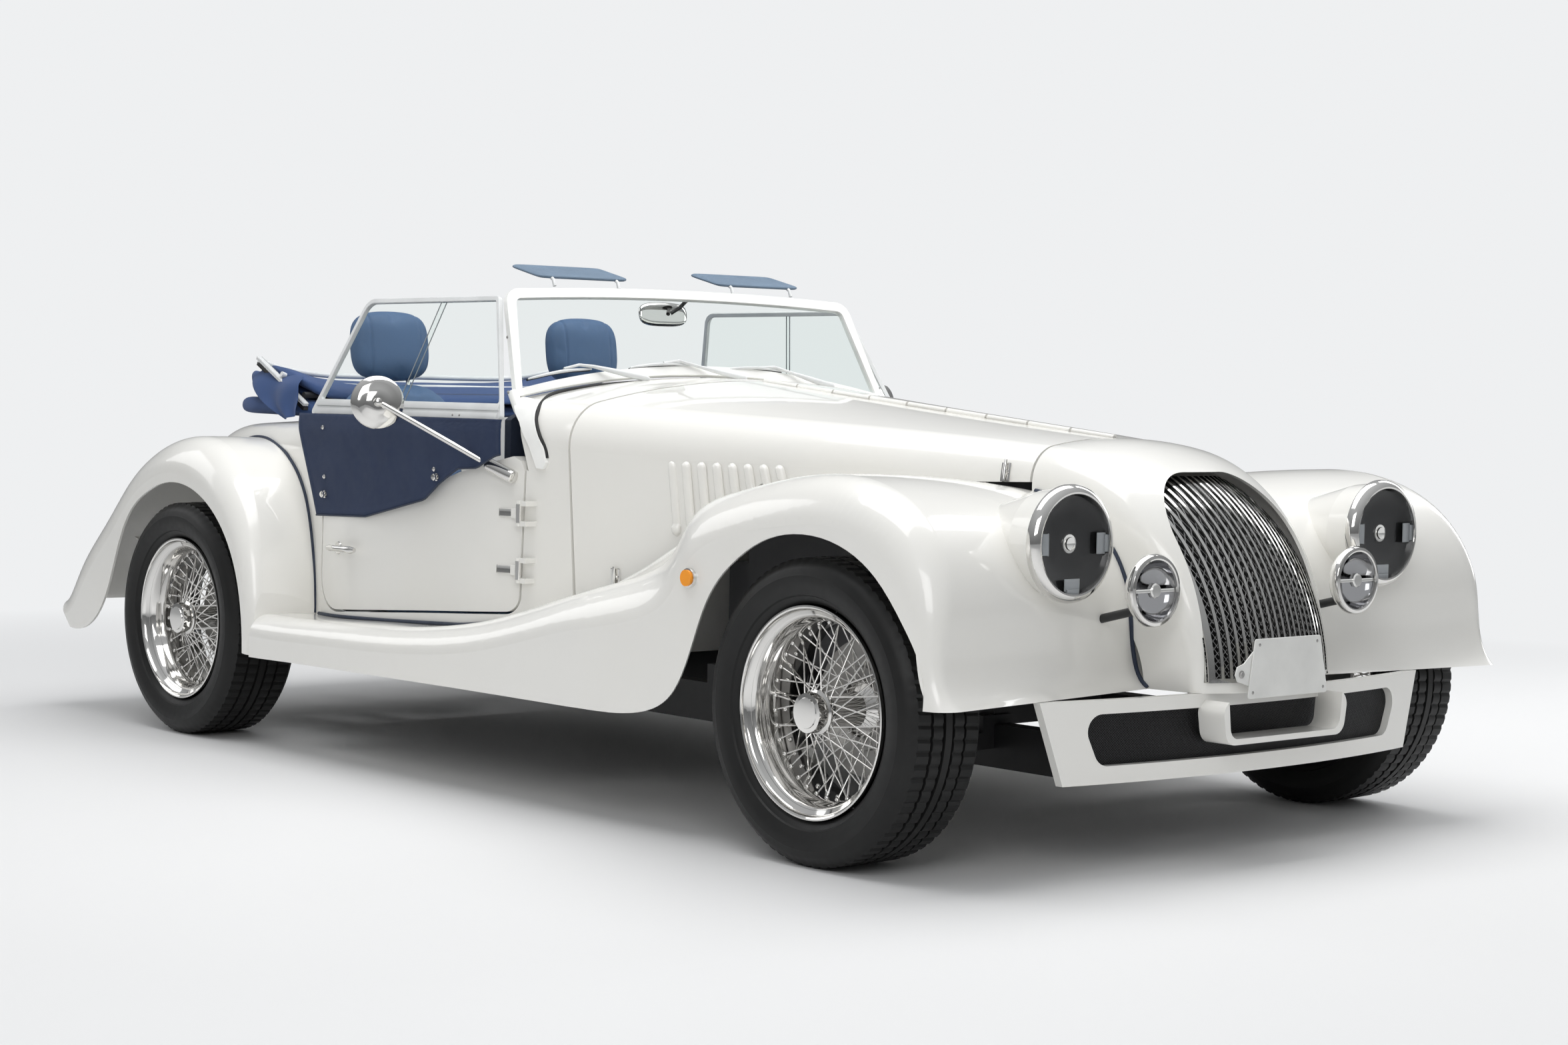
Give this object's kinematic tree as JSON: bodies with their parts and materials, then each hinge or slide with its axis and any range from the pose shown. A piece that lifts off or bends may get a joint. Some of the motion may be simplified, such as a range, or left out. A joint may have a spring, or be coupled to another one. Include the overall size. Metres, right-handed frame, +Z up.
{
  "type": "roadster convertible",
  "caption": "Open two-seat roadster with separate flowing wings, upright curved grille, wire wheels, side screens and a folded soft hood.",
  "frame": {"origin": "on the ground, on the centreline, at mid-length", "axes": "+X to the car's left, +Y to its rear, +Z up; the nose points to -Y"},
  "size_m": [1.792, 3.7344, 1.2523],
  "materials": {
    "paint_pearl": "gloss",
    "paint_white": "gloss",
    "chrome": "polished",
    "black_steel": "satin",
    "iron": "matte",
    "glass": "clear",
    "lamp_glass": "clear",
    "amber_lens": "gloss",
    "red_lens": "gloss",
    "blue_leather": "satin",
    "blue_cloth": "woven",
    "grey_frame": "satin",
    "rubber": "matte",
    "mesh_black": "satin",
    "dash_trim": "satin",
    "exhaust_steel": "brushed",
    "plate_grey": "satin",
    "alloy": "satin"
  },
  "bodies": {
    "chassis": {"front_wings": "paint_pearl", "rear_wings": "paint_pearl", "scuttle": "paint_white", "rear_body": "paint_white", "floor_pan": "paint_white", "bonnet_hinge_rod": "chrome", "nose_cowl": "paint_white", "grille": "chrome", "intake_mesh": "mesh_black", "valance": "paint_white", "headlamps": "lamp_glass", "fog_lamps": "lamp_glass", "fog_brackets": "black_steel", "sun_visors": "blue_leather", "side_repeaters": "amber_lens", "tail_lamps": "red_lens", "number_plate": "plate_grey", "windscreen_frame": "chrome", "windscreen_glass": "glass", "wipers": "chrome", "interior_mirror": "chrome", "seats": "blue_leather", "dashboard": "dash_trim", "steering_column": "black_steel", "folded_hood": "blue_cloth", "chassis_frame": "black_steel", "engine_block": "iron", "front_suspension": "black_steel", "rear_axle": "black_steel", "exhaust": "exhaust_steel"},
    "road_wheel_front_left": {"tyre_front_left": "rubber", "wheel_front_left": "chrome"},
    "road_wheel_front_right": {"tyre_front_right": "rubber", "wheel_front_right": "chrome"},
    "road_wheel_rear_left": {"tyre_rear_left": "rubber", "wheel_rear_left": "chrome"},
    "road_wheel_rear_right": {"tyre_rear_right": "rubber", "wheel_rear_right": "chrome"},
    "knuckle_left": {"knuckle_left": "alloy"},
    "knuckle_right": {"knuckle_right": "alloy"},
    "steering_wheel": {"steering_wheel": "dash_trim"},
    "door_left": {"door_left": "paint_white", "side_frame_left": "grey_frame", "side_glass_left": "glass", "side_cloth_left": "blue_cloth", "door_mirror_left": "chrome"},
    "door_right": {"door_right": "paint_white", "side_frame_right": "grey_frame", "side_glass_right": "glass", "side_cloth_right": "blue_cloth", "door_mirror_right": "chrome"},
    "bonnet_left": {"bonnet_left": "paint_white"},
    "bonnet_right": {"bonnet_right": "paint_white"}
  },
  "joints": [
    {"name": "steer_left", "type": "hinge", "parent": "chassis", "child": "knuckle_left", "pos_m": [0.64, -1.343, 0.308], "axis": [0, 0, 1], "range_deg": [-24, 24]},
    {"name": "steer_right", "type": "hinge", "parent": "chassis", "child": "knuckle_right", "pos_m": [-0.64, -1.343, 0.308], "axis": [0, 0, 1], "range_deg": [-24, 24]},
    {"name": "steering_wheel_turn", "type": "hinge", "parent": "chassis", "child": "steering_wheel", "pos_m": [0.33, 0.347, 0.82], "axis": [0, 0.9063, 0.4226], "range_deg": [-360, 360]},
    {"name": "spin_front_left", "type": "hinge", "parent": "knuckle_left", "child": "road_wheel_front_left", "pos_m": [0.76, -1.343, 0.308], "axis": [1, 0, 0], "continuous": true},
    {"name": "spin_rear_left", "type": "hinge", "parent": "chassis", "child": "road_wheel_rear_left", "pos_m": [0.778, 1.177, 0.308], "axis": [1, 0, 0], "continuous": true},
    {"name": "door_left_hinge", "type": "hinge", "parent": "chassis", "child": "door_left", "pos_m": [0.647, -0.067, 0.5725], "axis": [0, 0, -1], "range_deg": [0, 60]},
    {"name": "bonnet_left_hinge", "type": "hinge", "parent": "chassis", "child": "bonnet_left", "pos_m": [0, -0.78, 0.9075], "axis": [0, -0.9956, -0.0941], "range_deg": [0, 50]},
    {"name": "spin_front_right", "type": "hinge", "parent": "knuckle_right", "child": "road_wheel_front_right", "pos_m": [-0.76, -1.343, 0.308], "axis": [1, 0, 0], "continuous": true},
    {"name": "spin_rear_right", "type": "hinge", "parent": "chassis", "child": "road_wheel_rear_right", "pos_m": [-0.778, 1.177, 0.308], "axis": [1, 0, 0], "continuous": true},
    {"name": "door_right_hinge", "type": "hinge", "parent": "chassis", "child": "door_right", "pos_m": [-0.647, -0.067, 0.5725], "axis": [0, 0, 1], "range_deg": [0, 60]},
    {"name": "bonnet_right_hinge", "type": "hinge", "parent": "chassis", "child": "bonnet_right", "pos_m": [0, -0.78, 0.9075], "axis": [0, 0.9956, 0.0941], "range_deg": [0, 50]}
  ],
  "couplings": [
    {"joint": "steer_right", "follows": "steer_left", "ratio": 1},
    {"joint": "steering_wheel_turn", "follows": "steer_left", "ratio": 15}
  ]
}
